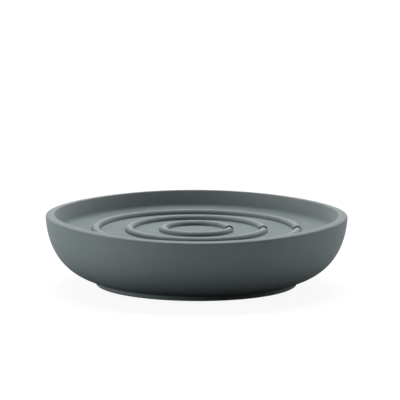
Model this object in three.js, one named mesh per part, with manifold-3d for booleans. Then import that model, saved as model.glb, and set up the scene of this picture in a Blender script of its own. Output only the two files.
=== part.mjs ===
// Round soap dish: a hollow body of two shells with a gently waved rim, three split drain rings and four foot pads.
// Millimetres, +Z up. The origin is on the resting plane, under the dish's axis. The ring gaps face +X, the front -Y.

import * as THREE from 'three';
import { mergeVertices } from 'three/addons/utils/BufferGeometryUtils.js';
import Module from 'manifold-3d';

const wasm = await Module();
wasm.setup();

// Overall sizes
const DISH_DIAMETER = 120;
const BODY_HEIGHT = 27.75; // foot edge to lip crown, averaged round the rim

// Outer bowl
const FOOT_DIAMETER = 80;
const FOOT_HEIGHT = 1.85;
const BOWL_WALL = 1.9;
const WALL_RISE = 14; // degrees above level, where the wall leaves the foot
const WALL_LEAN = 3.5; // degrees from upright, where the wall meets the lip
const LOWER_FULLNESS = 0.645; // how far the wall keeps its rise, as a share of the overhang past the foot
const UPPER_FULLNESS = 0.53; // how far the wall keeps its lean, as a share of the wall's height

// Lip and well of the tray
const LIP_WIDTH = 3.6; // outside of the dish to the well's wall
const LIP_SLOPE = 7; // degrees, fall of the lip's top towards the outside
const LIP_ROUND = 0.7; // radius of the lip's outer edge
const LIP_INNER_ROUND = 0.5; // radius of the lip's inner edge
const WELL_DEPTH = 6.35; // lip crown to floor
const WELL_LEAN = 25; // degrees from upright of the well's wall
const WELL_FILLET = 1.2; // wall to floor
const TRAY_FLOOR = 2.2;
const TRAY_CORNER = 3.6; // radius of the tray's outer lower edge, below the spigot

// Wave of the rim, as heights above and below its average
const RIM_TILT = 0.3; // up at the back, down at the front
const RIM_SADDLE = 0.25; // up at both sides, down at the front and back
const RIM_LOBES = 0.37; // up at the back and at both front quarters, down between them

// Drain rings
const RING_NAMES = ['inner', 'middle', 'outer'];
const RING_FIRST_RADIUS = 13.2; // centre line of the inner ring
const RING_PITCH = 13.45;
const RING_WIDTH = 3.5;
const RING_PROUD = 1.75; // crest above the floor
const RING_GROOVE = 0.8;
const RING_GAP = 4.6;
const RING_END = 0.5; // rounding of a ring's cut ends
const RING_MARGIN = 0.5; // level floor kept outside the outer ring

// Foot pads
const PAD_COUNT = 4;
const PAD_DIAMETER = 10;
const PAD_PROUD = 0.6;
const PAD_POCKET = 0.8;
const PAD_INSET = 9; // foot edge to pad centre
const PAD_EDGE = 0.2;

// Fits
const BOND = 0.1; // glue film under the lip, the rings and the pads
const LAP_CLEARANCE = 0.15;
const GROOVE_CLEARANCE = 0.15;
const POCKET_CLEARANCE = 0.2;

// Facets
const TURN_STEPS = 72;
const PAD_STEPS = 24;
const WALL_STEPS = 10;
const ROUND_STEPS = 5;
const CREST_STEPS = 8;
const FADE_STEPS = 6;
const WELD_DISTANCE = 1e-4;

// Places worked out from the sizes, as radius and height
const dishRadius = DISH_DIAMETER / 2;
const footRadius = FOOT_DIAMETER / 2;
const footZ = PAD_PROUD;
const crownZ = footZ + BODY_HEIGHT;
const floorZ = crownZ - WELL_DEPTH;
const underZ = floorZ - TRAY_FLOOR;
const lipInnerRadius = dishRadius - LIP_WIDTH;
const lean = THREE.MathUtils.degToRad(WALL_LEAN);
const rise = THREE.MathUtils.degToRad(WALL_RISE);
const lipInnerCentre = new THREE.Vector2(lipInnerRadius + LIP_INNER_ROUND, crownZ - LIP_INNER_ROUND);
const lipCentre = lipOuterCentre();
const seam = new THREE.Vector2(Math.cos(lean), -Math.sin(lean)).multiplyScalar(LIP_ROUND).add(lipCentre);
const filletCentre = wellFilletCentre();

// Centre of the lip's outer edge, set so that the lip's sloping top runs smoothly into both of its edges.
function lipOuterCentre() {
  const slope = THREE.MathUtils.degToRad(LIP_SLOPE);
  const radius = dishRadius - LIP_ROUND;
  const fall = LIP_ROUND - LIP_INNER_ROUND + Math.sin(slope) * (radius - lipInnerCentre.x);
  return new THREE.Vector2(radius, lipInnerCentre.y - fall / Math.cos(slope));
}

// Centre of the well's fillet, set so that the leaning wall runs smoothly into the lip's inner edge and the floor.
function wellFilletCentre() {
  const wellLean = THREE.MathUtils.degToRad(WELL_LEAN);
  const height = floorZ + WELL_FILLET;
  const reach = Math.sin(wellLean) * (lipInnerCentre.y - height) + LIP_INNER_ROUND + WELL_FILLET;
  return new THREE.Vector2(lipInnerCentre.x - reach / Math.cos(wellLean), height);
}

// Height of the wave above the rim's average, by the angle from +X.
function rimWave(angle) {
  return RIM_TILT * Math.sin(angle) + RIM_SADDLE * Math.cos(2 * angle) - RIM_LOBES * Math.sin(3 * angle);
}

// The outside of the bowl's wall, from the top of the foot to the seam under the lip.
function wallCurve() {
  const start = new THREE.Vector2(footRadius, footZ + FOOT_HEIGHT);
  const end = new THREE.Vector2(seam.x, seam.y - BOND);
  const lower = LOWER_FULLNESS * (end.x - start.x);
  const upper = UPPER_FULLNESS * (end.y - start.y);
  return new THREE.CubicBezierCurve(
    start,
    new THREE.Vector2(start.x + lower, start.y + lower * Math.tan(rise)),
    new THREE.Vector2(end.x - upper * Math.tan(lean), end.y - upper),
    end,
  );
}

// Points of a curve moved square to it, to its left, by a distance.
function besidePoints(curve, distance, steps) {
  const points = [];
  for (let step = 0; step <= steps; step += 1) {
    const share = step / steps;
    const along = curve.getTangent(share);
    const side = new THREE.Vector2(-along.y, along.x).multiplyScalar(distance);
    points.push(curve.getPoint(share).add(side));
  }
  return points;
}

// Radius of a rising row of points at a height.
function radiusAt(points, height) {
  const above = points.findIndex((point) => point.y >= height);
  const high = points[above];
  const low = points[above - 1];
  return THREE.MathUtils.mapLinear(height, low.y, high.y, low.x, high.x);
}

// Points of a round stretch about a centre, between two angles in degrees.
function roundPoints(x, y, radius, from, to, steps = ROUND_STEPS) {
  const start = THREE.MathUtils.degToRad(from);
  const end = THREE.MathUtils.degToRad(to);
  return new THREE.EllipseCurve(x, y, radius, radius, start, end, to < from).getPoints(steps);
}

const point = (radius, height) => new THREE.Vector2(radius, height);

// A body of revolution about Z from its outline, which runs anticlockwise as radius and height.
function turned(outline, steps = TURN_STEPS) {
  return new THREE.LatheGeometry(outline, steps).rotateX(Math.PI / 2);
}

// A body with the rim's wave, as much of it as a share says for each radius and height.
function waved(geometry, share) {
  const places = geometry.attributes.position;
  const place = new THREE.Vector3();
  for (let at = 0; at < places.count; at += 1) {
    place.fromBufferAttribute(places, at);
    const amount = share(Math.hypot(place.x, place.y), place.z);
    places.setZ(at, place.z + amount * rimWave(Math.atan2(place.y, place.x)));
  }
  return geometry;
}

// A closed body through rows of points, each row a convex loop, with a flat cap on its first and last row.
function lofted(rows) {
  const count = rows[0].length;
  const last = (rows.length - 1) * count;
  const index = [];
  for (let start = 0; start < last; start += count) {
    for (let at = 0; at < count; at += 1) {
      const here = start + at;
      const next = start + ((at + 1) % count);
      index.push(here, next + count, next, here, here + count, next + count);
    }
  }
  for (let at = 1; at + 1 < count; at += 1) {
    index.push(0, at, at + 1, last, last + at + 1, last + at);
  }
  const geometry = new THREE.BufferGeometry().setFromPoints(rows.flat());
  geometry.setIndex(index);
  geometry.computeVertexNormals();
  return geometry;
}

// Solids for cutting, and back to a geometry.
function toSolid(geometry) {
  const bare = geometry.clone();
  bare.deleteAttribute('normal');
  bare.deleteAttribute('uv');
  const merged = mergeVertices(bare, WELD_DISTANCE);
  return new wasm.Manifold(new wasm.Mesh({
    numProp: 3,
    vertProperties: new Float32Array(merged.attributes.position.array),
    triVerts: new Uint32Array(merged.index.array),
  }));
}

function toGeometry(solid) {
  const mesh = solid.getMesh();
  const geometry = new THREE.BufferGeometry();
  geometry.setAttribute('position', new THREE.BufferAttribute(new Float32Array(mesh.vertProperties), 3));
  geometry.setIndex(new THREE.BufferAttribute(new Uint32Array(mesh.triVerts), 1));
  geometry.computeVertexNormals();
  return geometry;
}

// Centre lines of the rings, and centres of the pads.
const ringRadii = RING_NAMES.map((name, index) => RING_FIRST_RADIUS + index * RING_PITCH);
const padCentres = Array.from({ length: PAD_COUNT }, (unused, index) => {
  const angle = ((index + 0.5) / PAD_COUNT) * 2 * Math.PI;
  return new THREE.Vector2(Math.cos(angle), Math.sin(angle)).multiplyScalar(footRadius - PAD_INSET);
});

const wall = wallCurve();
const wallOutside = wall.getPoints(WALL_STEPS);
const wallInside = besidePoints(wall, BOWL_WALL, WALL_STEPS);
const spigotRadius = widestSpigot();
const cornerStart = spigotRadius - TRAY_CORNER;
const ringsReach = ringRadii.at(-1) + RING_WIDTH / 2 + RING_MARGIN;

// Radius of the widest spigot whose rounded lower edge clears the bowl's wall.
function widestSpigot() {
  const corner = roundPoints(-TRAY_CORNER, underZ + TRAY_CORNER, TRAY_CORNER, -90, 0);
  const room = corner.map(({ x, y }) => radiusAt(wallInside, y) - x);
  return Math.min(...room) - LAP_CLEARANCE;
}

// Shares of the wave. The bowl has all of it where it holds the tray, and none at its base. On the tray it fades from
// the spigot's corner in to the rings, so the rings lie on a level floor.
const bowlShare = (radius, height) => THREE.MathUtils.smoothstep(height, wallInside[0].y, underZ);
const trayShare = (radius) => THREE.MathUtils.smoothstep(radius, ringsReach, cornerStart);

// Points of a level face where the wave fades, from the rings out towards a radius.
function fadePoints(radius, height) {
  return Array.from({ length: FADE_STEPS }, (unused, index) => (
    point(THREE.MathUtils.lerp(ringsReach, radius, index / FADE_STEPS), height)
  ));
}

// Lower shell: a solid base on a short foot, a wall of one thickness and pockets for the pads.
function outerBowl() {
  const innerTop = point(wallInside.at(-1).x, wallOutside.at(-1).y);
  const outline = [
    point(0, footZ),
    point(footRadius, footZ),
    ...wallOutside,
    innerTop,
    ...wallInside.slice(0, -1).reverse(),
    point(0, wallInside[0].y),
  ];
  let bowl = toSolid(waved(turned(outline), bowlShare));
  for (const centre of padCentres) {
    const pocket = new THREE.CylinderGeometry(
      PAD_DIAMETER / 2 + POCKET_CLEARANCE,
      PAD_DIAMETER / 2 + POCKET_CLEARANCE,
      2 * PAD_POCKET,
      PAD_STEPS,
    );
    pocket.rotateX(Math.PI / 2).translate(centre.x, centre.y, footZ);
    bowl = bowl.subtract(toSolid(pocket));
  }
  return toGeometry(bowl);
}

// A bar bent round the axis at a radius, with flat ends either side of a straight gap along +X. Its outline is convex
// and runs anticlockwise as offset and height. Where an end's edges round off, the outline draws in and its crest dips.
function splitBar(radius, outline, half, shoulderZ, gap) {
  const ends = Array.from({ length: ROUND_STEPS }, (unused, index) => {
    const turn = (index / (ROUND_STEPS - 1)) * (Math.PI / 2);
    const share = 1 - (RING_END / half) * (1 - Math.sin(turn));
    return { away: gap / 2 + RING_END * (1 - Math.cos(turn)), share, part: 0 };
  });
  const bar = Array.from({ length: TURN_STEPS - 1 }, (unused, index) => (
    { ...ends.at(-1), part: (index + 1) / TURN_STEPS }
  ));
  const farEnds = ends.toReversed().map((end) => ({ ...end, part: 1 }));
  const rows = [...ends, ...bar, ...farEnds].map(({ away, share, part }) => outline.map(({ x, y }) => {
    const reach = radius + x * share;
    const first = Math.asin(away / reach);
    const angle = THREE.MathUtils.lerp(first, 2 * Math.PI - first, part);
    const height = y > shoulderZ ? THREE.MathUtils.lerp(shoulderZ, y, share) : y;
    return new THREE.Vector3(reach * Math.cos(angle), reach * Math.sin(angle), height);
  }));
  return lofted(rows);
}

// Groove in the floor for one ring, open above the floor.
function grooveCutter(radius) {
  const half = RING_WIDTH / 2 + GROOVE_CLEARANCE;
  const outline = [
    point(-half, floorZ - RING_GROOVE),
    point(half, floorZ - RING_GROOVE),
    point(half, floorZ + RING_PROUD),
    point(-half, floorZ + RING_PROUD),
  ];
  return splitBar(radius, outline, half, floorZ + RING_PROUD, RING_GAP - 2 * GROOVE_CLEARANCE);
}

// Upper shell: the lip, the well and its floor, with an upright spigot inside the bowl's rim.
function soapTray() {
  const outline = [
    point(0, underZ),
    ...fadePoints(cornerStart, underZ),
    ...roundPoints(cornerStart, underZ + TRAY_CORNER, TRAY_CORNER, -90, 0),
    point(spigotRadius, seam.y),
    ...roundPoints(lipCentre.x, lipCentre.y, LIP_ROUND, -WALL_LEAN, 90 - LIP_SLOPE),
    ...roundPoints(lipInnerCentre.x, lipInnerCentre.y, LIP_INNER_ROUND, 90 - LIP_SLOPE, 180 - WELL_LEAN),
    ...roundPoints(filletCentre.x, filletCentre.y, WELL_FILLET, -WELL_LEAN, -90),
    ...fadePoints(filletCentre.x, floorZ).reverse(),
    point(0, floorZ),
  ];
  let tray = toSolid(waved(turned(outline), trayShare));
  for (const radius of ringRadii) {
    tray = tray.subtract(toSolid(grooveCutter(radius)));
  }
  return toGeometry(tray);
}

// One ring with a half-round crest and a square root in its groove, split once along +X.
function drainRing(radius) {
  const half = RING_WIDTH / 2;
  const rootZ = floorZ - RING_GROOVE + BOND;
  const shoulderZ = floorZ + RING_PROUD - half;
  const outline = [
    point(-half, rootZ),
    point(half, rootZ),
    ...roundPoints(0, shoulderZ, half, 0, 180, CREST_STEPS),
  ];
  return splitBar(radius, outline, half, shoulderZ, RING_GAP);
}

// One pad, standing proud of its pocket, with eased edges below.
function footPad() {
  const radius = PAD_DIAMETER / 2;
  const topZ = footZ + PAD_POCKET - BOND;
  const outline = [
    point(0, 0),
    point(radius - PAD_EDGE, 0),
    point(radius, PAD_EDGE),
    point(radius, topZ),
    point(0, topZ),
  ];
  return turned(outline, PAD_STEPS);
}

// Finishes
const softTouch = () => new THREE.MeshStandardMaterial({ color: 0x7c8688, roughness: 0.72, metalness: 0 });
const softRubber = () => new THREE.MeshStandardMaterial({ color: 0x303436, roughness: 0.85, metalness: 0 });

function piece(name, geometry, material) {
  const mesh = new THREE.Mesh(geometry, material);
  mesh.name = name;
  return mesh;
}

// The assembly
const dish = new THREE.Group();
dish.add(piece('outer_bowl', outerBowl(), softTouch()));
dish.add(piece('soap_tray', soapTray(), softTouch()));
RING_NAMES.forEach((name, index) => {
  dish.add(piece(`drain_ring_${name}`, drainRing(ringRadii[index]), softTouch()));
});
padCentres.forEach((centre, index) => {
  const pad = piece(`foot_pad_${index + 1}`, footPad(), softRubber());
  pad.position.set(centre.x, centre.y, 0);
  dish.add(pad);
});

export default dish;
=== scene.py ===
# Round soap dish: smooth pieces and finishes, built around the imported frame.
# Metres, +Z up. The ring gaps face +X, and the camera looks along +Y.

import math

import bmesh
import bpy
from mathutils import Matrix, Vector


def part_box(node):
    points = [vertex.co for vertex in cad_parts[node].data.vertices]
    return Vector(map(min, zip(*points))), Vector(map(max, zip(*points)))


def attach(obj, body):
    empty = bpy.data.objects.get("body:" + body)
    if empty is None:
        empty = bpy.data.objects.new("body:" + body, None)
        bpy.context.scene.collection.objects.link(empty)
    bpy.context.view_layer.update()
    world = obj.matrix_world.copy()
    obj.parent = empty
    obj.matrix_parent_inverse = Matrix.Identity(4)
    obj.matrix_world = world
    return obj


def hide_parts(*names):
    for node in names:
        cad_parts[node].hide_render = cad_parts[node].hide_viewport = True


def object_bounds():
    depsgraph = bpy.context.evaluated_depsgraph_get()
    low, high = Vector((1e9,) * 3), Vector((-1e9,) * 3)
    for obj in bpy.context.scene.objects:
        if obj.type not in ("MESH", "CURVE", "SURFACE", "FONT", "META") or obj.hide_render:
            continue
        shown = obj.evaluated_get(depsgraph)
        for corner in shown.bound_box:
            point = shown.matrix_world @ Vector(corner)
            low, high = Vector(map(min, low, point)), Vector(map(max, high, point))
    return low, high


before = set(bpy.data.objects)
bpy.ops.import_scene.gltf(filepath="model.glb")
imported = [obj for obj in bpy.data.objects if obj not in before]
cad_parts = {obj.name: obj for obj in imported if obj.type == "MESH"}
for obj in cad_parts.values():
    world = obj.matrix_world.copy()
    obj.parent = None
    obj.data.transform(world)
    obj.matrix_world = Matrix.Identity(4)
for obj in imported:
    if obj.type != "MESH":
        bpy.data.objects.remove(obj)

bl_info = {
    "name": "Ringed soap dish",
    "version": (1, 0, 0),
    "blender": (4, 5, 0),
    "location": "View3D > Sidebar > Soap dish",
    "description": "Builds a round soap dish with split drain rings around its packed frame",
    "category": "Object",
}

# Places read from the frame
CAD_LOW, CAD_HIGH = [corner.copy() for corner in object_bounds()]
BOWL_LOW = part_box("outer_bowl")[0]
DISH_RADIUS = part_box("soap_tray")[1].x
RING_NODES = ("drain_ring_inner", "drain_ring_middle", "drain_ring_outer")
PAD_NODES = ("foot_pad_1", "foot_pad_2", "foot_pad_3", "foot_pad_4")
PAD_LOW, PAD_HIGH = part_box(PAD_NODES[0])

WELD_DISTANCE = 1e-6
CRISP_ANGLE = math.radians(32)
RUB_AND_HIGHLIGHT = "polish"
LIFT = "lift"
TURNED_TREE = "Turned profile"
SPLIT_BAR_TREE = "Split bar"
PADS_TREE = "Pads on a circle"

# Facets along the curved stretches of the profiles
WALL_STEPS = 90
INNER_WALL_STEPS = 60
FADE_STEPS = 24
CREST_STEPS = 24
CORNER_STEPS = 12
LIP_SIDE_STEPS = 6
LIP_STEPS = 10
FOOT_EDGE_STEPS = 6
FOOT_FOLD_STEPS = 8
PAD_EDGE_STEPS = 5
RING_END_STEPS = 8

# Rubbing and painted highlight on the lip: degrees above level where its plain side ends and its smoother,
# paler top starts, and the amounts
LIP_SIDE_END = 25
LIP_TOP_START = 30
LIP_TOP_RUB_AND_HIGHLIGHT = 0.6
LIP_INNER_RUB_AND_HIGHLIGHT = 1.0

# How closely the rubbing and painted highlight of a ring keep to its crest
CREST_RUB_AND_HIGHLIGHT_POWER = 3

# Roughness of the noise, and the range that it mostly keeps to
NOISE_ROUGHNESS = 0.55
NOISE_LOW = 0.3
NOISE_HIGH = 0.7

# The Mix node's colour sockets, by number because other sockets share their names
MIX_FIRST = 6
MIX_SECOND = 7
MIX_RESULT = 2

# Softboxes: name, the setting that holds the power, place, and width and height in metres
SOFTBOXES = (
    ("top_lamp", "top_power", (0.0, 0.5, 1.3), (1.2, 0.6)),
    ("back_lamp", "back_power", (0.0, 1.2, 0.75), (1.4, 0.6)),
    ("left_lamp", "left_power", (-1.2, 0.0, 0.5), (0.9, 0.9)),
    ("low_lamp", "low_power", (-1.2, -0.2, 0.15), (0.9, 0.3)),
    ("right_lamp", "right_power", (1.0, 0.35, 0.3), (0.6, 0.5)),
)
WHITE = (1.0, 1.0, 1.0, 1.0)
FLOOR_HALF = 4.0
CLIP_START = 0.01
CLIP_END = 50.0


def length(name, description, default):
    """A size in metres that a user may change."""
    return bpy.props.FloatProperty(
        name=name,
        description=description,
        default=default,
        min=0.0,
        precision=5,
        subtype="DISTANCE",
        unit="LENGTH",
    )


def angle(name, description, degrees):
    """An angle that a user may change, given in degrees."""
    return bpy.props.FloatProperty(
        name=name,
        description=description,
        default=math.radians(degrees),
        subtype="ANGLE",
        unit="ROTATION",
    )


def share(name, description, default):
    """A part of a whole, from 0 to 1."""
    return bpy.props.FloatProperty(
        name=name,
        description=description,
        default=default,
        min=0.0,
        max=1.0,
        subtype="FACTOR",
    )


def colour(name, description, default):
    """A surface colour, in linear light."""
    return bpy.props.FloatVectorProperty(
        name=name,
        description=description,
        default=default,
        size=3,
        min=0.0,
        max=1.0,
        subtype="COLOR",
    )


def power(name, description, default):
    """A lamp's power in watts."""
    return bpy.props.FloatProperty(
        name=name,
        description=description,
        default=default,
        min=0.0,
        subtype="POWER",
        unit="POWER",
    )


def number(name, description, default):
    """A plain number, not below zero."""
    return bpy.props.FloatProperty(name=name, description=description, default=default, min=0.0)


def count(name, description, default):
    """A whole number of steps."""
    return bpy.props.IntProperty(name=name, description=description, default=default, min=3)


class DishShape(bpy.types.PropertyGroup):
    """Sizes of the dish's pieces."""

    body_height: length("Body height", "Foot to lip crown, averaged round the rim", 0.027745)
    foot_radius: length("Foot radius", "Axis to the foot's upright edge", 0.04)
    foot_height: length("Foot height", "Underside to the fold where the wall leaves the foot", 0.00185)
    foot_edge: length("Foot edge", "Rounding of the foot's lower edge", 0.0004)
    foot_fold: length("Foot fold", "Rounding of the fold above the foot", 0.0006)
    bowl_wall: length("Bowl wall", "Thickness of the lower shell", 0.0019)
    wall_rise: angle("Wall rise", "Angle above level where the wall leaves the foot", 14)
    wall_lean: angle("Wall lean", "Angle from upright where the wall meets the lip", 3.5)
    lower_fullness: share("Lower fullness", "How far the wall keeps its rise", 0.645)
    upper_fullness: share("Upper fullness", "How far the wall keeps its lean", 0.53)
    seam: length("Seam", "Open line between the lower shell and the lip", 0.00003)

    lip_width: length("Lip width", "Outside of the dish to the well's wall", 0.0036)
    lip_slope: angle("Lip slope", "Fall of the lip's top towards the outside", 7)
    lip_round: length("Lip round", "Rounding of the lip's outer edge", 0.0007)
    lip_inner_round: length("Lip inner round", "Rounding of the lip's crisp inner edge", 0.0005)
    well_depth: length("Well depth", "Lip crown to floor", 0.00635)
    well_lean: angle("Well lean", "Angle from upright of the well's wall", 25)
    well_fillet: length("Well fillet", "Rounding between the well's wall and floor", 0.0022)
    tray_floor: length("Tray floor", "Thickness of the well's floor", 0.0022)
    tray_corner: length("Tray corner", "Rounding of the tray's lower edge inside the bowl", 0.0036)
    lap_clearance: length("Lap clearance", "Room between the tray and the bowl's wall", 0.00015)

    rim_tilt: length("Rim tilt", "Rise of the rim at the back, and fall at the front", 0.0003)
    rim_saddle: length("Rim saddle", "Rise of the rim at the sides, and fall at the front and back", 0.00025)
    rim_lobes: length("Rim lobes", "Rise of the rim at the back and at both front quarters", 0.00037)

    ring_width: length("Ring width", "Width of a drain ring", 0.0035)
    ring_proud: length("Ring height", "Crest of a drain ring above the floor", 0.00175)
    ring_groove: length("Ring groove", "Depth of the groove that a ring sits in", 0.0008)
    ring_gap: length("Ring gap", "Opening between a ring's two ends", 0.0046)
    ring_end: length("Ring end", "Rounding of a ring's cut ends", 0.0005)
    ring_margin: length("Ring margin", "Level floor kept outside the outer ring", 0.0005)
    groove_clearance: length("Groove clearance", "Room between a ring and its groove", 0.00004)

    pad_pocket: length("Pad pocket", "Depth of a pad's pocket in the foot", 0.0008)
    pad_edge: length("Pad edge", "Rounding of a pad's lower edge", 0.0002)
    pocket_clearance: length("Pocket clearance", "Room between a pad and its pocket", 0.0002)

    turn_steps: count("Turn steps", "Facets round the shells", 256)
    ring_steps: count("Ring steps", "Facets along half a drain ring", 110)
    pad_steps: count("Pad steps", "Facets round a pad", 64)


class DishFinish(bpy.types.PropertyGroup):
    """Colours and surface of the dish's materials."""

    body: colour("Body", "Soft-touch lacquer", (0.198, 0.239, 0.247))
    # The edge and crest colours, paler than the body, stand for rubbing and for a painted highlight
    edge: colour("Edge", "Lacquer rubbed smooth along the lip", (0.27, 0.287, 0.29))
    crest: colour("Crest", "Lacquer rubbed smooth along the rings' crests", (0.37, 0.39, 0.395))
    rubber: colour("Rubber", "Foot pads", (0.030, 0.034, 0.036))
    mottle: share("Mottle", "Strength of the lacquer's soft clouding", 0.05)
    body_roughness: share("Body roughness", "Mean roughness of the lacquer", 0.64)
    body_spread: share("Body spread", "How far the lacquer's roughness strays from its mean", 0.04)
    body_specular: share("Body specular", "Strength of the lacquer's reflections", 0.2)
    cloud_scale: number("Cloud scale", "Clouds in the lacquer, per metre", 42.0)
    rub_scale: number("Rub scale", "Rubbed patches along an edge, per metre", 260.0)
    rub_least: share("Least rub", "Rubbing that an edge keeps between the patches", 0.4)
    rub_smoothing: share("Rub smoothing", "Roughness that rubbing takes off", 0.08)
    peel_scale: number("Peel scale", "Soft waves in the lacquer, per metre", 420.0)
    peel_depth: length("Peel depth", "Depth of the soft waves", 0.0002)
    peel_strength: share("Peel strength", "How strongly the soft waves show", 0.06)
    grain_scale: number("Grain scale", "Grains in the lacquer, per metre", 2600.0)
    grain_depth: length("Grain depth", "Depth of the grain", 0.00005)
    grain_strength: share("Grain strength", "How strongly the grain shows", 0.1)

    rubber_roughness: share("Rubber roughness", "Mean roughness of the pads", 0.82)
    rubber_spread: share("Rubber spread", "How far the pads' roughness strays from its mean", 0.08)
    rubber_specular: share("Rubber specular", "Strength of the pads' reflections", 0.35)
    scuff_scale: number("Scuff scale", "Scuffs on the pads, per metre", 700.0)
    scuff_most: share("Most scuff", "Strength of the strongest scuffs", 0.6)
    scuff_paleness: number("Scuff paleness", "How many times paler a scuff is than the rubber", 1.7)
    pebble_scale: number("Pebble scale", "Pebbles on the pads, per metre", 3200.0)
    pebble_depth: length("Pebble depth", "Depth of the pebbles", 0.00008)
    pebble_strength: share("Pebble strength", "How strongly the pebbles show", 0.35)


class DishStage(bpy.types.PropertyGroup):
    """Camera and studio light."""

    elevation: angle("Elevation", "Camera above level", 9.55)
    roll: angle("Roll", "Camera turned about its own axis", 0.24)
    distance: length("Distance", "Camera to the point it looks at", 3.0)
    lens: number("Lens", "Focal length in millimetres", 679.7)
    aim_across: length("Aim across", "Point looked at, right of the dish's axis", 0.00133)
    aim_height: length("Aim height", "Point looked at, above the floor", 0.03423)
    top_power: power("Top lamp", "Wide softbox above the dish, a little behind", 14.8)
    back_power: power("Back lamp", "Wide softbox behind the dish", 5.0)
    left_power: power("Left lamp", "Softbox on the left", 2.5)
    low_power: power("Low lamp", "Low strip on the left", 4.8)
    right_power: power("Right lamp", "Small softbox on the right, a little behind", 2.8)
    floor_far: share("Floor far off", "Brightness of the floor's bounced light, away from the dish", 0.9)
    # Painted shade round the foot: the floor's bounced light there
    painted_shade_at_foot: share("Floor near by", "Brightness of the floor's bounced light, at the foot", 0.02)
    floor_glow: share("Floor glow", "White that the camera sees even in the dish's shadow", 0.92)
    floor_shade: share("Floor shade", "How strongly light and shadow show on that white", 0.16)
    # Reach of the painted shade round the foot
    dark_reach: length("Dark reach", "From the axis to where the darkening by the foot starts to fade", 0.04)
    pale_reach: length("Pale reach", "From the axis to where the darkening by the foot ends", 0.11)


# Rows of profile points: radius, height, how much rubbing and painted highlight the surface has there, and
# its share of the rim's wave


def with_rub_and_highlight(points, amount=0.0):
    """The points with one amount of rubbing and painted highlight, and no share of the wave."""
    return [(place.x, place.y, amount, 0.0) for place in points]


def lifted(points, share_at):
    """The points with shares of the wave, each found from its radius and height."""
    return [(radius, height, polish, share_at(radius, height)) for radius, height, polish, _ in points]


def eased(value, start, end):
    """A smooth step from 0 to 1 between two values."""
    part = min(1.0, max(0.0, (value - start) / (end - start)))
    return part * part * (3.0 - 2.0 * part)


def spot(radius, height):
    """A point of a profile."""
    return Vector((radius, height))


def round_points(centre, radius, start, end, steps):
    """Points of a round stretch about a centre, between two angles in degrees."""
    points = []
    for step in range(steps + 1):
        turn = math.radians(start + (end - start) * step / steps)
        points.append(centre + Vector((math.cos(turn), math.sin(turn))) * radius)
    return points


def curve_place(ends, part):
    """Place and direction at a part of a cubic curve with four control points."""
    start, leaving, arriving, end = ends
    rest = 1.0 - part
    place = start * rest**3 + leaving * (3 * rest**2 * part)
    place += arriving * (3 * rest * part**2)
    place += end * part**3
    way = (leaving - start) * rest**2 + (arriving - leaving) * (2 * rest * part)
    way += (end - arriving) * part**2
    return place, way.normalized()


def crown_height(shape):
    """Height of the lip's crown, averaged round the rim."""
    return BOWL_LOW.z + shape.body_height


def floor_height(shape):
    """Height of the well's floor."""
    return crown_height(shape) - shape.well_depth


def under_height(shape):
    """Height of the tray's underside."""
    return floor_height(shape) - shape.tray_floor


def lip_inner_centre(shape):
    """Centre of the round along the lip's inner edge."""
    radius = DISH_RADIUS - shape.lip_width + shape.lip_inner_round
    return spot(radius, crown_height(shape) - shape.lip_inner_round)


def lip_outer_centre(shape):
    """Centre of the round along the lip's outer edge, where the sloping top meets both rounds."""
    inner = lip_inner_centre(shape)
    reach = DISH_RADIUS - shape.lip_round
    fall = shape.lip_round - shape.lip_inner_round + math.sin(shape.lip_slope) * (reach - inner.x)
    return spot(reach, inner.y - fall / math.cos(shape.lip_slope))


def fillet_centre(shape):
    """Centre of the round between the well's leaning wall and its floor."""
    inner = lip_inner_centre(shape)
    height = floor_height(shape) + shape.well_fillet
    away = math.sin(shape.well_lean) * (inner.y - height) + shape.lip_inner_round + shape.well_fillet
    return spot(inner.x - away / math.cos(shape.well_lean), height)


def seam_place(shape):
    """Where the lip's underside meets the outside of the bowl."""
    out = Vector((math.cos(shape.wall_lean), -math.sin(shape.wall_lean)))
    return lip_outer_centre(shape) + out * shape.lip_round


def wall_curve(shape):
    """Control points of the bowl's outside, from the fold above the foot to the seam under the lip."""
    start = spot(shape.foot_radius, BOWL_LOW.z + shape.foot_height)
    end = seam_place(shape) - Vector((0.0, shape.seam))
    lower = shape.lower_fullness * (end.x - start.x)
    upper = shape.upper_fullness * (end.y - start.y)
    leaving = start + Vector((lower, lower * math.tan(shape.wall_rise)))
    arriving = end - Vector((upper * math.tan(shape.wall_lean), upper))
    return start, leaving, arriving, end


def inner_wall(shape):
    """Points of the bowl's inside, from its base up to the rim."""
    ends = wall_curve(shape)
    points = []
    for step in range(INNER_WALL_STEPS + 1):
        place, way = curve_place(ends, step / INNER_WALL_STEPS)
        points.append(place + Vector((-way.y, way.x)) * shape.bowl_wall)
    return points


def radius_at(points, height):
    """Radius of a rising row of points at a height."""
    for low, high in zip(points, points[1:]):
        if low.y <= height <= high.y:
            return low.x + (high.x - low.x) * (height - low.y) / (high.y - low.y)
    raise ValueError("the wall doesn't reach that height")


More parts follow.
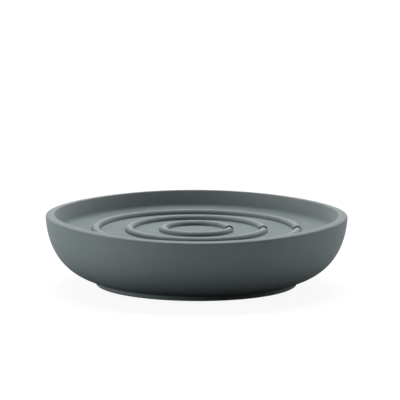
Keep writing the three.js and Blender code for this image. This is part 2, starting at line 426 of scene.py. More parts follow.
def bowl_profile(shape):
    """The lower shell: underside, foot, fold, outer wall, rim, inner wall and base."""
    ends = wall_curve(shape)
    fold = ends[0]
    rise = shape.wall_rise
    along = shape.foot_fold * (1.0 - math.sin(rise)) / math.cos(rise)
    fold_centre = fold + Vector((math.cos(rise), math.sin(rise))) * along
    fold_centre += Vector((math.sin(rise), -math.cos(rise))) * shape.foot_fold
    foot_centre = spot(shape.foot_radius - shape.foot_edge, BOWL_LOW.z + shape.foot_edge)

    # The fold takes up the first part of the wall's curve
    first = along / (3.0 * (ends[1] - fold).length)
    outside = []
    for step in range(1, WALL_STEPS + 1):
        outside.append(curve_place(ends, first + (1.0 - first) * step / WALL_STEPS)[0])
    inside = inner_wall(shape)
    rim = spot(inside[-1].x, outside[-1].y)
    points = (
        with_rub_and_highlight([spot(0.0, BOWL_LOW.z)])
        + with_rub_and_highlight(round_points(foot_centre, shape.foot_edge, -90, 0, FOOT_EDGE_STEPS))
        + with_rub_and_highlight(round_points(fold_centre, shape.foot_fold, 180, 90 + math.degrees(rise), FOOT_FOLD_STEPS))
        + with_rub_and_highlight(outside)
        + with_rub_and_highlight([rim])
        + with_rub_and_highlight(reversed(inside[:-1]))
        + with_rub_and_highlight([spot(0.0, inside[0].y)])
    )
    base = inside[0].y
    under = under_height(shape)
    return lifted(points, lambda radius, height: eased(height, base, under))


def widest_spigot(shape):
    """Radius of the widest spigot whose rounded lower edge clears the bowl's wall."""
    inside = inner_wall(shape)
    corner_centre = spot(-shape.tray_corner, under_height(shape) + shape.tray_corner)
    corner = round_points(corner_centre, shape.tray_corner, -90, 0, CORNER_STEPS)
    return min(radius_at(inside, place.y) - place.x for place in corner) - shape.lap_clearance


def fade_points(start, end, height):
    """Points along a level face, from one radius to just short of another."""
    return [spot(start + (end - start) * step / FADE_STEPS, height) for step in range(FADE_STEPS)]


def tray_profile(shape):
    """The upper shell: underside, spigot, lip, well wall and floor."""
    under = under_height(shape)
    floor = floor_height(shape)
    spigot = widest_spigot(shape)
    corner = shape.tray_corner
    corner_start = spigot - corner
    rings_reach = -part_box(RING_NODES[-1])[0].x + shape.ring_margin
    lean = math.degrees(shape.wall_lean)
    slope = math.degrees(shape.lip_slope)
    well_lean = math.degrees(shape.well_lean)
    outer = lip_outer_centre(shape)
    inner = lip_inner_centre(shape)
    fillet = fillet_centre(shape)
    lip_side = round_points(outer, shape.lip_round, -lean, LIP_SIDE_END, LIP_SIDE_STEPS)
    lip_top = round_points(outer, shape.lip_round, LIP_TOP_START, 90 - slope, LIP_STEPS)
    lip_inside = round_points(inner, shape.lip_inner_round, 90 - slope, 180 - well_lean, LIP_STEPS)
    points = (
        with_rub_and_highlight([spot(0.0, under)])
        + with_rub_and_highlight(fade_points(rings_reach, corner_start, under))
        + with_rub_and_highlight(round_points(spot(corner_start, under + corner), corner, -90, 0, CORNER_STEPS))
        + with_rub_and_highlight([spot(spigot, seam_place(shape).y)])
        + with_rub_and_highlight(lip_side)
        # The lip's top and inner edge get rubbing, which smooths them, and a paler painted highlight
        + with_rub_and_highlight(lip_top, LIP_TOP_RUB_AND_HIGHLIGHT)
        + with_rub_and_highlight(lip_inside, LIP_INNER_RUB_AND_HIGHLIGHT)
        + with_rub_and_highlight(round_points(fillet, shape.well_fillet, -well_lean, -90, CORNER_STEPS))
        + with_rub_and_highlight(reversed(fade_points(rings_reach, fillet.x, floor)))
        + with_rub_and_highlight([spot(0.0, floor)])
    )
    return lifted(points, lambda radius, height: eased(radius, rings_reach, corner_start))


def ring_profile(shape):
    """A drain ring's cross-section about its centre line, from the middle of its root and back to it."""
    half = shape.ring_width / 2
    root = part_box(RING_NODES[0])[0].z
    shoulder = shoulder_height(shape)
    crest = round_points(spot(0.0, shoulder), half, 0, 180, CREST_STEPS)
    loop = with_rub_and_highlight([spot(0.0, root), spot(half, root)])
    for place in crest:
        # Towards the crest's top: rubbing that smooths it, and a paler painted highlight
        loop += with_rub_and_highlight([place], max(0.0, (place.y - shoulder) / half) ** CREST_RUB_AND_HIGHLIGHT_POWER)
    loop += with_rub_and_highlight([spot(-half, root)])
    return loop + loop[:1]


def shoulder_height(shape):
    """Height where a ring's half-round crest starts."""
    return floor_height(shape) + shape.ring_proud - shape.ring_width / 2


def groove_profile(shape):
    """The room that a ring's groove takes out of the floor, about its centre line."""
    half = shape.ring_width / 2 + shape.groove_clearance
    floor = floor_height(shape)
    low = floor - shape.ring_groove
    high = floor + shape.ring_proud
    below = with_rub_and_highlight([spot(0.0, low), spot(half, low)])
    above = with_rub_and_highlight([spot(half, high), spot(0.0, high), spot(-half, high)])
    return below + above + with_rub_and_highlight([spot(-half, low), spot(0.0, low)])


def pad_profile(shape):
    """A foot pad: flat tread, eased edge, upright side and flat top."""
    radius = (PAD_HIGH.x - PAD_LOW.x) / 2
    edge_centre = spot(radius - shape.pad_edge, PAD_LOW.z + shape.pad_edge)
    return (
        with_rub_and_highlight([spot(0.0, PAD_LOW.z)])
        + with_rub_and_highlight(round_points(edge_centre, shape.pad_edge, -90, 0, PAD_EDGE_STEPS))
        + with_rub_and_highlight([spot(radius, PAD_HIGH.z), spot(0.0, PAD_HIGH.z)])
    )


def pocket_profile(shape):
    """The room that a pad's pocket takes out of the foot."""
    radius = (PAD_HIGH.x - PAD_LOW.x) / 2 + shape.pocket_clearance
    high = BOWL_LOW.z + shape.pad_pocket
    low = BOWL_LOW.z - shape.pad_pocket
    return with_rub_and_highlight([spot(0.0, low), spot(radius, low), spot(radius, high), spot(0.0, high)])


# Node trees


class NodeMaker:
    """Short calls that add nodes to a tree and feed their sockets with values or links."""

    def __init__(self, tree):
        self.tree = tree

    def add(self, kind, feeds=None, **settings):
        """A node with its settings, its inputs fed by name or place."""
        made = self.tree.nodes.new(kind)
        for name, value in settings.items():
            setattr(made, name, value)
        for key, source in (feeds or {}).items():
            self.feed(made.inputs[key], source)
        return made

    def feed(self, socket, source):
        """Links a socket to another, or sets its value."""
        if isinstance(source, bpy.types.NodeSocket):
            self.tree.links.new(source, socket)
        else:
            socket.default_value = source

    def sum(self, operation, first, second=0.0):
        """The result of one step of arithmetic."""
        return self.add("ShaderNodeMath", {0: first, 1: second}, operation=operation).outputs[0]

    def noise(self, place, scale, detail):
        """Soft noise about a half."""
        feeds = {"Vector": place, "Scale": scale, "Detail": detail, "Roughness": NOISE_ROUGHNESS}
        return self.add("ShaderNodeTexNoise", feeds).outputs["Fac"]

    def spread(self, noise, low, high):
        """Noise stretched to run between two values."""
        feeds = {"Value": noise, "From Min": NOISE_LOW, "From Max": NOISE_HIGH, "To Min": low, "To Max": high}
        return self.add("ShaderNodeMapRange", feeds).outputs["Result"]

    def blend(self, factor, first, second):
        """A colour between two others, each a socket or three linear parts."""
        made = self.add("ShaderNodeMix", {"Factor": factor}, data_type="RGBA")
        for socket, source in ((MIX_FIRST, first), (MIX_SECOND, second)):
            ready = source if isinstance(source, bpy.types.NodeSocket) else (*source, 1.0)
            self.feed(made.inputs[socket], ready)
        return made.outputs[MIX_RESULT]

    def whole(self, operation, first, second):
        """The result of one step of whole-number arithmetic."""
        return self.add("FunctionNodeIntegerMath", {0: first, 1: second}, operation=operation).outputs[0]


def new_geometry_tree(name, inputs):
    """An empty Geometry Nodes tree with named inputs, and its maker and input sockets."""
    tree = bpy.data.node_groups.new(name, "GeometryNodeTree")
    tree.is_modifier = True
    for label, kind in inputs:
        tree.interface.new_socket(name=label, in_out="INPUT", socket_type=kind)
    tree.interface.new_socket(name="Mesh", in_out="OUTPUT", socket_type="NodeSocketGeometry")
    maker = NodeMaker(tree)
    return tree, maker, maker.add("NodeGroupInput").outputs


def grid_of_profiles(maker, profile, rows):
    """A grid with a profile on each row, and for its points the row, radius, height, polish and lift."""
    points = maker.add("GeometryNodeAttributeDomainSize", {"Geometry": profile}).outputs["Point Count"]
    grid = maker.add("GeometryNodeMeshGrid", {"Vertices X": rows, "Vertices Y": points}).outputs["Mesh"]
    index = maker.add("GeometryNodeInputIndex").outputs["Index"]
    row = maker.whole("DIVIDE_FLOOR", index, points)
    column = maker.whole("MODULO", index, points)
    position = maker.add("GeometryNodeInputPosition").outputs["Position"]
    place = maker.add(
        "GeometryNodeSampleIndex",
        {"Geometry": profile, "Value": position, "Index": column},
        data_type="FLOAT_VECTOR",
    )
    parts = maker.add("ShaderNodeSeparateXYZ", {"Vector": place.outputs["Value"]}).outputs
    amounts = []
    for name in (RUB_AND_HIGHLIGHT, LIFT):
        amount = maker.add("GeometryNodeInputNamedAttribute", {"Name": name}).outputs["Attribute"]
        feeds = {"Geometry": profile, "Value": amount, "Index": column}
        amounts.append(maker.add("GeometryNodeSampleIndex", feeds).outputs["Value"])
    # A grid with a profile on each row, and for its points the row, radius, height, rubbing and painted
    # highlight, and lift.
    return grid, row, parts["X"], parts["Z"], *amounts


def finish_mesh(maker, grid, turn, reach, height, polish, material):
    """Puts the grid's points round the axis, welds and smooths the mesh, and gives it its material."""
    across = maker.sum("MULTIPLY", reach, maker.sum("COSINE", turn))
    along = maker.sum("MULTIPLY", reach, maker.sum("SINE", turn))
    place = maker.add("ShaderNodeCombineXYZ", {"X": across, "Y": along, "Z": height}).outputs["Vector"]
    kept = {"Geometry": grid, "Name": RUB_AND_HIGHLIGHT, "Value": polish}
    named = maker.add("GeometryNodeStoreNamedAttribute", kept)
    moved = maker.add("GeometryNodeSetPosition", {"Geometry": named.outputs[0], "Position": place})
    near = {"Geometry": moved.outputs[0], "Distance": WELD_DISTANCE}
    welded = maker.add("GeometryNodeMergeByDistance", near)
    smooth = maker.add("GeometryNodeSetShadeSmooth", {"Geometry": welded.outputs[0], "Shade Smooth": True})
    fold = maker.add("GeometryNodeInputMeshEdgeAngle").outputs["Unsigned Angle"]
    crisp = maker.add("FunctionNodeCompare", {"A": fold, "B": CRISP_ANGLE}, operation="GREATER_THAN")
    edged = maker.add(
        "GeometryNodeSetShadeSmooth",
        {"Geometry": smooth.outputs[0], "Selection": crisp.outputs["Result"], "Shade Smooth": False},
        domain="EDGE",
    )
    end_tree(maker, edged.outputs[0], material)


def end_tree(maker, geometry, material):
    """Ends a tree with real geometry in its material."""
    real = maker.add("GeometryNodeRealizeInstances", {"Geometry": geometry})
    painted = maker.add("GeometryNodeSetMaterial", {"Geometry": real.outputs[0], "Material": material})
    maker.add("NodeGroupOutput", {"Mesh": painted.outputs[0]})


def turned_tree():
    """Turns a profile once round the axis, from half a step past +X, and lifts it in a gentle wave."""
    inputs = (
        ("Profile", "NodeSocketGeometry"),
        ("Steps", "NodeSocketInt"),
        ("Tilt", "NodeSocketFloat"),
        ("Saddle", "NodeSocketFloat"),
        ("Lobes", "NodeSocketFloat"),
        ("Material", "NodeSocketMaterial"),
    )
    tree, maker, given = new_geometry_tree(TURNED_TREE, inputs)
    rows = maker.whole("ADD", given["Steps"], 1)
    grid, row, reach, height, polish, lift = grid_of_profiles(maker, given["Profile"], rows)
    step = maker.sum("DIVIDE", 2 * math.pi, given["Steps"])
    turn = maker.sum("MULTIPLY", maker.sum("ADD", row, 0.5), step)
    tilt = maker.sum("MULTIPLY", given["Tilt"], maker.sum("SINE", turn))
    twice = maker.sum("MULTIPLY", turn, 2.0)
    saddle = maker.sum("MULTIPLY", given["Saddle"], maker.sum("COSINE", twice))
    thrice = maker.sum("MULTIPLY", turn, 3.0)
    lobes = maker.sum("MULTIPLY", given["Lobes"], maker.sum("SINE", thrice))
    wave = maker.sum("SUBTRACT", maker.sum("ADD", tilt, saddle), lobes)
    height = maker.sum("ADD", height, maker.sum("MULTIPLY", lift, wave))
    finish_mesh(maker, grid, turn, reach, height, polish, given["Material"])
    return tree


def split_bar_tree():
    """Bends a bar round the axis, with flat round-edged ends either side of a gap along +X."""
    inputs = (
        ("Profile", "NodeSocketGeometry"),
        ("Radius", "NodeSocketFloat"),
        ("Half Width", "NodeSocketFloat"),
        ("Shoulder", "NodeSocketFloat"),
        ("Gap", "NodeSocketFloat"),
        ("End Round", "NodeSocketFloat"),
        ("End Steps", "NodeSocketInt"),
        ("Half Steps", "NodeSocketInt"),
        ("Material", "NodeSocketMaterial"),
    )
    tree, maker, given = new_geometry_tree(SPLIT_BAR_TREE, inputs)
    first_bar_row = maker.whole("ADD", given["End Steps"], 1)
    half_rows = maker.whole("ADD", first_bar_row, given["Half Steps"])
    last_row = maker.whole("MULTIPLY", half_rows, 2)
    rows = maker.whole("ADD", last_row, 1)
    grid, row, offset, height, polish, _ = grid_of_profiles(maker, given["Profile"], rows)

    # Rows counted from the nearer end: one that closes its flat face, then its rounding, then the bar
    from_end = maker.sum("MINIMUM", row, maker.sum("SUBTRACT", last_row, row))
    past_face = maker.sum("MAXIMUM", maker.sum("SUBTRACT", from_end, 1.0), 0.0)
    rounding = maker.sum("MINIMUM", maker.sum("DIVIDE", past_face, given["End Steps"]), 1.0)
    swing = maker.sum("MULTIPLY", rounding, math.pi / 2)
    bar_rows = maker.sum("MAXIMUM", maker.sum("SUBTRACT", from_end, first_bar_row), 0.0)
    bar_part = maker.sum("DIVIDE", bar_rows, given["Half Steps"])

    # The rounding draws the sides in, and the first row closes on the centre line
    inset = maker.sum("DIVIDE", given["End Round"], given["Half Width"])
    shrunk = maker.sum("MULTIPLY", inset, maker.sum("SUBTRACT", 1.0, maker.sum("SINE", swing)))
    draw = maker.sum("SUBTRACT", 1.0, shrunk)
    open_row = maker.sum("MINIMUM", from_end, 1.0)
    sideways = maker.sum("MULTIPLY", maker.sum("MULTIPLY", offset, draw), open_row)
    reach = maker.sum("ADD", given["Radius"], sideways)

    # Angle of each point from +X, so that the flat faces lie along the gap, mirrored past the far side
    unswung = maker.sum("SUBTRACT", 1.0, maker.sum("COSINE", swing))
    rounded = maker.sum("MULTIPLY", given["End Round"], unswung)
    away = maker.sum("ADD", maker.sum("MULTIPLY", given["Gap"], 0.5), rounded)
    first = maker.sum("ARCSINE", maker.sum("DIVIDE", away, reach))
    along_bar = maker.sum("MULTIPLY", maker.sum("SUBTRACT", math.pi, first), bar_part)
    turn = maker.sum("ADD", first, along_bar)
    beyond = maker.sum("GREATER_THAN", row, half_rows)
    mirrored = maker.sum("SUBTRACT", 2 * math.pi, maker.sum("MULTIPLY", turn, 2.0))
    turn = maker.sum("ADD", turn, maker.sum("MULTIPLY", beyond, mirrored))

    # The crest dips where an end rounds off
    above = maker.sum("MAXIMUM", maker.sum("SUBTRACT", height, given["Shoulder"]), 0.0)
    dip = maker.sum("MULTIPLY", above, maker.sum("SUBTRACT", 1.0, draw))
    height = maker.sum("SUBTRACT", height, dip)
    finish_mesh(maker, grid, turn, reach, height, polish, given["Material"])
    return tree


def pads_tree():
    """Sets turned pads evenly round a circle, half a step from +X."""
    inputs = (
        ("Profile", "NodeSocketGeometry"),
        ("Steps", "NodeSocketInt"),
        ("Count", "NodeSocketInt"),
        ("Circle Radius", "NodeSocketFloat"),
        ("Material", "NodeSocketMaterial"),
    )
    tree, maker, given = new_geometry_tree(PADS_TREE, inputs)
    pad = maker.add("GeometryNodeGroup", node_tree=kept_tree(TURNED_TREE, turned_tree))
    for label in ("Profile", "Steps", "Material"):
        maker.feed(pad.inputs[label], given[label])
    ring = {"Vertices": given["Count"], "Radius": given["Circle Radius"]}
    circle = maker.add("GeometryNodeMeshCircle", ring)
    half_step = maker.sum("DIVIDE", math.pi, given["Count"])
    tilt = maker.add("ShaderNodeCombineXYZ", {"Z": half_step}).outputs["Vector"]
    placed = maker.add("GeometryNodeTransform", {"Geometry": circle.outputs[0], "Rotation": tilt})
    feeds = {"Points": placed.outputs[0], "Instance": pad.outputs[0]}
    pads = maker.add("GeometryNodeInstanceOnPoints", feeds)
    end_tree(maker, pads.outputs[0], given["Material"])
    return tree


def kept_tree(name, make):
    """The tree of that name, made on first use."""
    return bpy.data.node_groups.get(name) or make()


# Pieces


def profile_object(name, profile):
    """An object that carries a profile's points for a tree to read."""
    mesh = bpy.data.meshes.new(name)
    radii, heights, polish, lift = zip(*profile)
    mesh.from_pydata([(radius, 0.0, height) for radius, height in zip(radii, heights)], [], [])
    for attribute, amounts in ((RUB_AND_HIGHLIGHT, polish), (LIFT, lift)):
        mesh.attributes.new(attribute, "FLOAT", "POINT").data.foreach_set("value", amounts)
    carrier = bpy.data.objects.new(name, mesh)
    bpy.context.scene.collection.objects.link(carrier)
    return carrier


def grown(name, profile, tree, values):
    """A plain mesh piece that a tree grows from a profile, with the tree's inputs given by name."""
    piece = profile_object(name, profile)
    modifier = piece.modifiers.new(tree.name, "NODES")
    modifier.node_group = tree
    inputs = [item for item in tree.interface.items_tree if item.in_out == "INPUT"]
    identifiers = {item.name: item.identifier for item in inputs}
    for label, value in values.items():
        modifier[identifiers[label]] = value
    settle(piece)
    return piece


def settle(piece):
    """Makes a piece's modifiers part of its mesh, and checks that it is a closed solid facing outwards."""
    graph = bpy.context.evaluated_depsgraph_get()
    mesh = bpy.data.meshes.new_from_object(piece.evaluated_get(graph))
    before = piece.data
    piece.modifiers.clear()
    piece.data = mesh
    bpy.data.meshes.remove(before)
    mesh.name = piece.name
    check_solid(piece)


def check_solid(piece):
    """Stops the script if a piece has an open edge or is inside out."""
    work = bmesh.new()
    work.from_mesh(piece.data)
    open_edges = [edge for edge in work.edges if not edge.is_manifold]
    volume = work.calc_volume(signed=True)
    work.free()
    if open_edges:
        raise RuntimeError(f"{piece.name} has {len(open_edges)} open edges")
    if volume <= 0.0:
        raise RuntimeError(f"{piece.name} is inside out")


def carve(piece, cutters):
    """Cuts solids out of a piece, and sets its crisp edges again."""
    for cutter in cutters:
        cut = piece.modifiers.new(cutter.name, "BOOLEAN")
        cut.operation = "DIFFERENCE"
        cut.solver = "EXACT"
        cut.object = cutter
    settle(piece)
    for cutter in cutters:
        mesh = cutter.data
        bpy.data.objects.remove(cutter)
        bpy.data.meshes.remove(mesh)
    piece.data.shade_smooth()
    piece.data.set_sharp_from_angle(angle=CRISP_ANGLE)


def place_piece(piece, slot, *nodes):
    """Puts a finished piece on the dish in place of its CAD nodes."""
    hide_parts(*nodes)
    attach(piece, "root")


def turned_shell(name, profile, shape, material):
    """A shell of one profile, with the rim's wave."""
    values = {
        "Steps": shape.turn_steps,
        "Tilt": shape.rim_tilt,
        "Saddle": shape.rim_saddle,
        "Lobes": shape.rim_lobes,
        "Material": material,
    }
    return grown(name, profile, kept_tree(TURNED_TREE, turned_tree), values)


def pads_on_foot(name, profile, shape, material):
    """Solids of one profile at each pad's place."""
    centre = (PAD_LOW + PAD_HIGH) / 2
    values = {
        "Steps": shape.pad_steps,
        "Count": len(PAD_NODES),
        "Circle Radius": centre.xy.length,
        "Material": material,
    }
    return grown(name, profile, kept_tree(PADS_TREE, pads_tree), values)


def bar_on_floor(name, node, profile, clearance, shoulder, shape, material):
    """A split bar of one profile along a drain ring's centre line, with a clearance all round it."""
    values = {
        "Radius": -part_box(node)[0].x - shape.ring_width / 2,
        "Half Width": shape.ring_width / 2 + clearance,
        "Shoulder": shoulder,
        "Gap": shape.ring_gap - 2 * clearance,
        "End Round": shape.ring_end,
        "End Steps": RING_END_STEPS,
        "Half Steps": shape.ring_steps,
        "Material": material,
    }
    return grown(name, profile, kept_tree(SPLIT_BAR_TREE, split_bar_tree), values)


# Finishes


def new_material(name):
    """An empty material, with its node maker and the piece's own coordinates."""
    material = bpy.data.materials.new(name)
    material.use_nodes = True
    material.node_tree.nodes.clear()
    maker = NodeMaker(material.node_tree)
    return material, maker, maker.add("ShaderNodeTexCoord").outputs["Object"]


def soft_lacquer(name, finish, rubbed_and_highlit):
    """Matt soft-touch lacquer: soft clouding, a fine grain, and smoother edges from rubbing, painted paler
    partly for wear and partly as a highlight.
    """
    material, maker, place = new_material(name)
    clouds = maker.noise(place, finish.cloud_scale, detail=4.0)
    rubbing = maker.noise(place, finish.rub_scale, detail=3.0)
    waves = maker.noise(place, finish.peel_scale, detail=1.0)
    grain = maker.noise(place, finish.grain_scale, detail=2.0)
    # Rubbing on lip and crests, in patches: it lowers roughness, and its paler colour is partly wear and
    # partly a painted highlight
    polish = maker.add("ShaderNodeAttribute", attribute_name=RUB_AND_HIGHLIGHT).outputs["Fac"]
    worn_and_highlit = maker.sum("MULTIPLY", polish, maker.spread(rubbing, finish.rub_least, 1.0))

    darker = [part * (1.0 - finish.mottle) for part in finish.body]
    lighter = [part * (1.0 + finish.mottle) for part in finish.body]
    tone = maker.blend(maker.spread(clouds, 0.0, 1.0), darker, lighter)
    tone = maker.blend(worn_and_highlit, tone, rubbed_and_highlit)

    smoothest = finish.body_roughness - finish.body_spread
    roughest = finish.body_roughness + finish.body_spread
    rubbed_off = maker.sum("MULTIPLY", worn_and_highlit, finish.rub_smoothing)
    roughness = maker.sum("SUBTRACT", maker.spread(rubbing, smoothest, roughest), rubbed_off)

    peel = maker.add(
        "ShaderNodeBump",
        {"Strength": finish.peel_strength, "Distance": finish.peel_depth, "Height": waves},
    )
    skin = maker.add(
        "ShaderNodeBump",
        {
            "Strength": finish.grain_strength,
            "Distance": finish.grain_depth,
            "Height": grain,
            "Normal": peel.outputs["Normal"],
        },
    )
    shader = maker.add(
        "ShaderNodeBsdfPrincipled",
        {
            "Base Color": tone,
            "Roughness": roughness,
            "Normal": skin.outputs["Normal"],
            "Specular IOR Level": finish.body_specular,
        },
    )
    maker.add("ShaderNodeOutputMaterial", {"Surface": shader.outputs[0]})
    return material


def pebbled_rubber(name, finish):
    """Dark moulded rubber with a pebbled grain and a few paler scuffs."""
    material, maker, place = new_material(name)
    scuffs = maker.noise(place, finish.scuff_scale, detail=5.0)
    pebbles = maker.noise(place, finish.pebble_scale, detail=2.0)
    paler = [min(1.0, part * finish.scuff_paleness) for part in finish.rubber]
    tone = maker.blend(maker.spread(scuffs, 0.0, finish.scuff_most), finish.rubber, paler)
    smoothest = finish.rubber_roughness - finish.rubber_spread
    roughest = finish.rubber_roughness + finish.rubber_spread
    roughness = maker.spread(scuffs, smoothest, roughest)
    skin = maker.add(
        "ShaderNodeBump",
        {"Strength": finish.pebble_strength, "Distance": finish.pebble_depth, "Height": pebbles},
    )
    shader = maker.add(
        "ShaderNodeBsdfPrincipled",
        {
            "Base Color": tone,
            "Roughness": roughness,
            "Normal": skin.outputs["Normal"],
            "Specular IOR Level": finish.rubber_specular,
        },
    )
    maker.add("ShaderNodeOutputMaterial", {"Surface": shader.outputs[0]})
    return material


def body_lacquer(finish):
    """The shells' lacquer, made on first use."""
    # The lip gets the paler edge colour, partly wear and partly a painted highlight
    return bpy.data.materials.get("body_lacquer") or soft_lacquer("body_lacquer", finish, finish.edge)


def seen_or_reflected(maker, path):
    """1 for rays from the camera, in a reflection or through glass, and 0 for bounced light."""
    reflected = maker.sum("MAXIMUM", path["Is Glossy Ray"], path["Is Transmission Ray"])
    return maker.sum("MAXIMUM", path["Is Camera Ray"], reflected)


def floor_paint(name, stage):
    """White with a faint shadow to the camera, and to other rays a floor with painted shade that darkens it
    towards the foot.
    """
    material, maker, place = new_material(name)
    path = maker.add("ShaderNodeLightPath").outputs
    by_camera = path["Is Camera Ray"]
    seen = seen_or_reflected(maker, path)
    away = maker.add("ShaderNodeVectorMath", {0: place}, operation="LENGTH").outputs["Value"]
    reach = {"Value": away, "From Min": stage.dark_reach, "From Max": stage.pale_reach}
    painted_shade_fade = maker.add("ShaderNodeMapRange", reach, interpolation_type="SMOOTHSTEP").outputs["Result"]

    # The white that the camera sees, which in reflections carries a painted shadow that darkens it towards
    # the foot
    glow = maker.sum("MULTIPLY", maker.sum("MAXIMUM", by_camera, painted_shade_fade), stage.floor_glow)
    white = maker.add("ShaderNodeEmission", {"Color": WHITE, "Strength": glow})
    lit = maker.add("ShaderNodeBsdfDiffuse", {"Color": (*[stage.floor_shade] * 3, 1.0)})
    pale = maker.add("ShaderNodeAddShader", {0: white.outputs[0], 1: lit.outputs[0]})

    # Bounced light off a floor with painted shade towards the foot, and no floor at all to a camera below it
    tone = maker.blend(painted_shade_fade, [stage.painted_shade_at_foot] * 3, [stage.floor_far] * 3)
    bounced = maker.add("ShaderNodeBsdfDiffuse", {"Color": tone})
    shown = maker.add("ShaderNodeMixShader", {0: seen, 1: bounced.outputs[0], 2: pale.outputs[0]})
    behind = maker.add("ShaderNodeNewGeometry").outputs["Backfacing"]
    from_below = maker.sum("MULTIPLY", behind, by_camera)
    clear = maker.add("ShaderNodeBsdfTransparent")
    shader = maker.add("ShaderNodeMixShader", {0: from_below, 1: shown.outputs[0], 2: clear.outputs[0]})
    maker.add("ShaderNodeOutputMaterial", {"Surface": shader.outputs[0]})
    return material


def white_world():
    """A world that is white where it is seen or reflected, and that gives no other light."""
    world = bpy.data.worlds.new("studio")
    world.use_nodes = True
    world.node_tree.nodes.clear()
    maker = NodeMaker(world.node_tree)
    seen = seen_or_reflected(maker, maker.add("ShaderNodeLightPath").outputs)
    white = maker.add("ShaderNodeBackground", {"Color": WHITE, "Strength": seen})
    maker.add("ShaderNodeOutputWorld", {"Surface": white.outputs[0]})
    bpy.context.scene.world = world


# Stage


def add_floor(stage):
    """A wide level floor under the pads."""
    half = FLOOR_HALF
    corners = [(-half, -half, 0.0), (half, -half, 0.0), (half, half, 0.0), (-half, half, 0.0)]
    mesh = bpy.data.meshes.new("studio_floor")
    mesh.from_pydata(corners, [], [(0, 1, 2, 3)])
    mesh.materials.append(floor_paint("floor_paint", stage))
    floor = bpy.data.objects.new("studio_floor", mesh)
    bpy.context.scene.collection.objects.link(floor)


def add_softbox(name, place, size, watts):
    """A soft lamp that faces the dish."""
    lamp = bpy.data.lights.new(name, "AREA")
    lamp.shape = "RECTANGLE"
    lamp.size, lamp.size_y = size
    lamp.energy = watts
    holder = bpy.data.objects.new(name, lamp)
    holder.location = place
    holder.rotation_mode = "QUATERNION"
    holder.rotation_quaternion = (-Vector(place)).to_track_quat("-Z", "Y")
    holder.visible_camera = False
    bpy.context.scene.collection.objects.link(holder)


def add_camera(stage):
    """The camera at the photograph's viewing angle."""
    back = Vector((0.0, -math.cos(stage.elevation), math.sin(stage.elevation)))
    aim = Vector((stage.aim_across, 0.0, stage.aim_height))
    camera = bpy.data.cameras.new("camera")
    camera.lens = stage.lens
    camera.clip_start = CLIP_START
    camera.clip_end = CLIP_END
    holder = bpy.data.objects.new("camera", camera)
    turn = (-back).to_track_quat("-Z", "Y").to_matrix().to_4x4()
    place = Matrix.Translation(aim + back * stage.distance)
    holder.matrix_world = place @ turn @ Matrix.Rotation(stage.roll, 4, "Z")
    bpy.context.scene.collection.objects.link(holder)
    bpy.context.scene.camera = holder


# Operators


class DISH_OT_bowl(bpy.types.Operator):
    """Turn the lower shell and cut the pad pockets in its foot"""

    bl_idname = "dish.bowl"
    bl_label = "Outer bowl"

    def execute(self, context):
        shape = context.scene.dish_shape
        lacquer = body_lacquer(context.scene.dish_finish)
        bowl = turned_shell("bowl_shell", bowl_profile(shape), shape, lacquer)
        carve(bowl, [pads_on_foot("pad_pockets", pocket_profile(shape), shape, lacquer)])
        place_piece(bowl, "soft_touch_body", "outer_bowl")
        return {"FINISHED"}


class DISH_OT_tray(bpy.types.Operator):
    """Turn the upper shell and cut the ring grooves in its floor"""

    bl_idname = "dish.tray"
    bl_label = "Soap tray"

    def execute(self, context):
        shape = context.scene.dish_shape
        lacquer = body_lacquer(context.scene.dish_finish)
        tray = turned_shell("tray_shell", tray_profile(shape), shape, lacquer)
        grooves = []
        for node in RING_NODES:
            name = f"groove_for_{node}"
            profile = groove_profile(shape)
            top = floor_height(shape) + shape.ring_proud
            grooves.append(bar_on_floor(name, node, profile, shape.groove_clearance, top, shape, lacquer))
        carve(tray, grooves)
        place_piece(tray, "soft_touch_body", "soap_tray")
        return {"FINISHED"}


class DISH_OT_rings(bpy.types.Operator):
    """Bend the three split drain rings along their grooves"""

    bl_idname = "dish.rings"
    bl_label = "Drain rings"

    def execute(self, context):
        shape = context.scene.dish_shape
        finish = context.scene.dish_finish
        # The crests get a pale colour, partly wear and partly a painted highlight
        lacquer = soft_lacquer("ring_lacquer", finish, finish.crest)
        for node in RING_NODES:
            shoulder = shoulder_height(shape)
            ring = bar_on_floor(f"{node}_bar", node, ring_profile(shape), 0.0, shoulder, shape, lacquer)
            place_piece(ring, "soft_touch_rings", node)
        return {"FINISHED"}


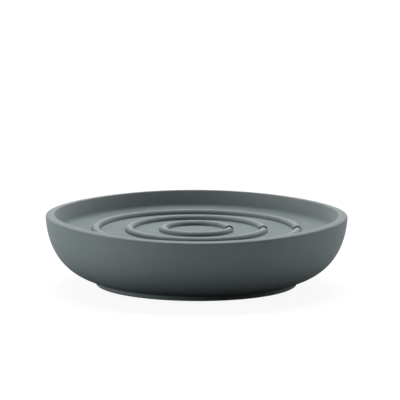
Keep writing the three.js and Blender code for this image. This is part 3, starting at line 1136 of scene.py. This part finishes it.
class DISH_OT_pads(bpy.types.Operator):
    """Set the four foot pads in their pockets"""

    bl_idname = "dish.pads"
    bl_label = "Foot pads"

    def execute(self, context):
        shape = context.scene.dish_shape
        rubber = pebbled_rubber("pebbled_rubber", context.scene.dish_finish)
        pads = pads_on_foot("foot_pads", pad_profile(shape), shape, rubber)
        place_piece(pads, "pad_rubber", *PAD_NODES)
        return {"FINISHED"}


class DISH_OT_stage(bpy.types.Operator):
    """Set up the floor, the lamps and the camera"""

    bl_idname = "dish.stage"
    bl_label = "Stage"

    def execute(self, context):
        stage = context.scene.dish_stage
        add_floor(stage)
        white_world()
        for name, setting, place, size in SOFTBOXES:
            add_softbox(name, place, size, getattr(stage, setting))
        add_camera(stage)
        context.scene.view_settings.view_transform = "Standard"
        return {"FINISHED"}


class DISH_PT_panel(bpy.types.Panel):
    """Lists the dish's pieces and their settings"""

    bl_idname = "DISH_PT_panel"
    bl_label = "Soap dish"
    bl_space_type = "VIEW_3D"
    bl_region_type = "UI"
    bl_category = "Soap dish"

    def draw(self, context):
        layout = self.layout
        for operator in OPERATORS:
            layout.operator(operator.bl_idname)
        for group in (context.scene.dish_shape, context.scene.dish_finish, context.scene.dish_stage):
            box = layout.box()
            for name in group.__annotations__:
                box.prop(group, name)


GROUPS = {"dish_shape": DishShape, "dish_finish": DishFinish, "dish_stage": DishStage}
OPERATORS = (DISH_OT_bowl, DISH_OT_tray, DISH_OT_rings, DISH_OT_pads, DISH_OT_stage)


def register():
    """Registers the settings, the operators and the panel."""
    for name, group in GROUPS.items():
        bpy.utils.register_class(group)
        setattr(bpy.types.Scene, name, bpy.props.PointerProperty(type=group))
    for operator in OPERATORS:
        bpy.utils.register_class(operator)
    bpy.utils.register_class(DISH_PT_panel)


def unregister():
    """Takes the panel, the operators and the settings out again."""
    bpy.utils.unregister_class(DISH_PT_panel)
    for operator in reversed(OPERATORS):
        bpy.utils.unregister_class(operator)
    for name, group in reversed(GROUPS.items()):
        delattr(bpy.types.Scene, name)
        bpy.utils.unregister_class(group)


def main():
    register()
    bpy.ops.dish.bowl()
    bpy.ops.dish.tray()
    bpy.ops.dish.rings()
    bpy.ops.dish.pads()
    bpy.ops.dish.stage()


if __name__ == "__main__":
    main()
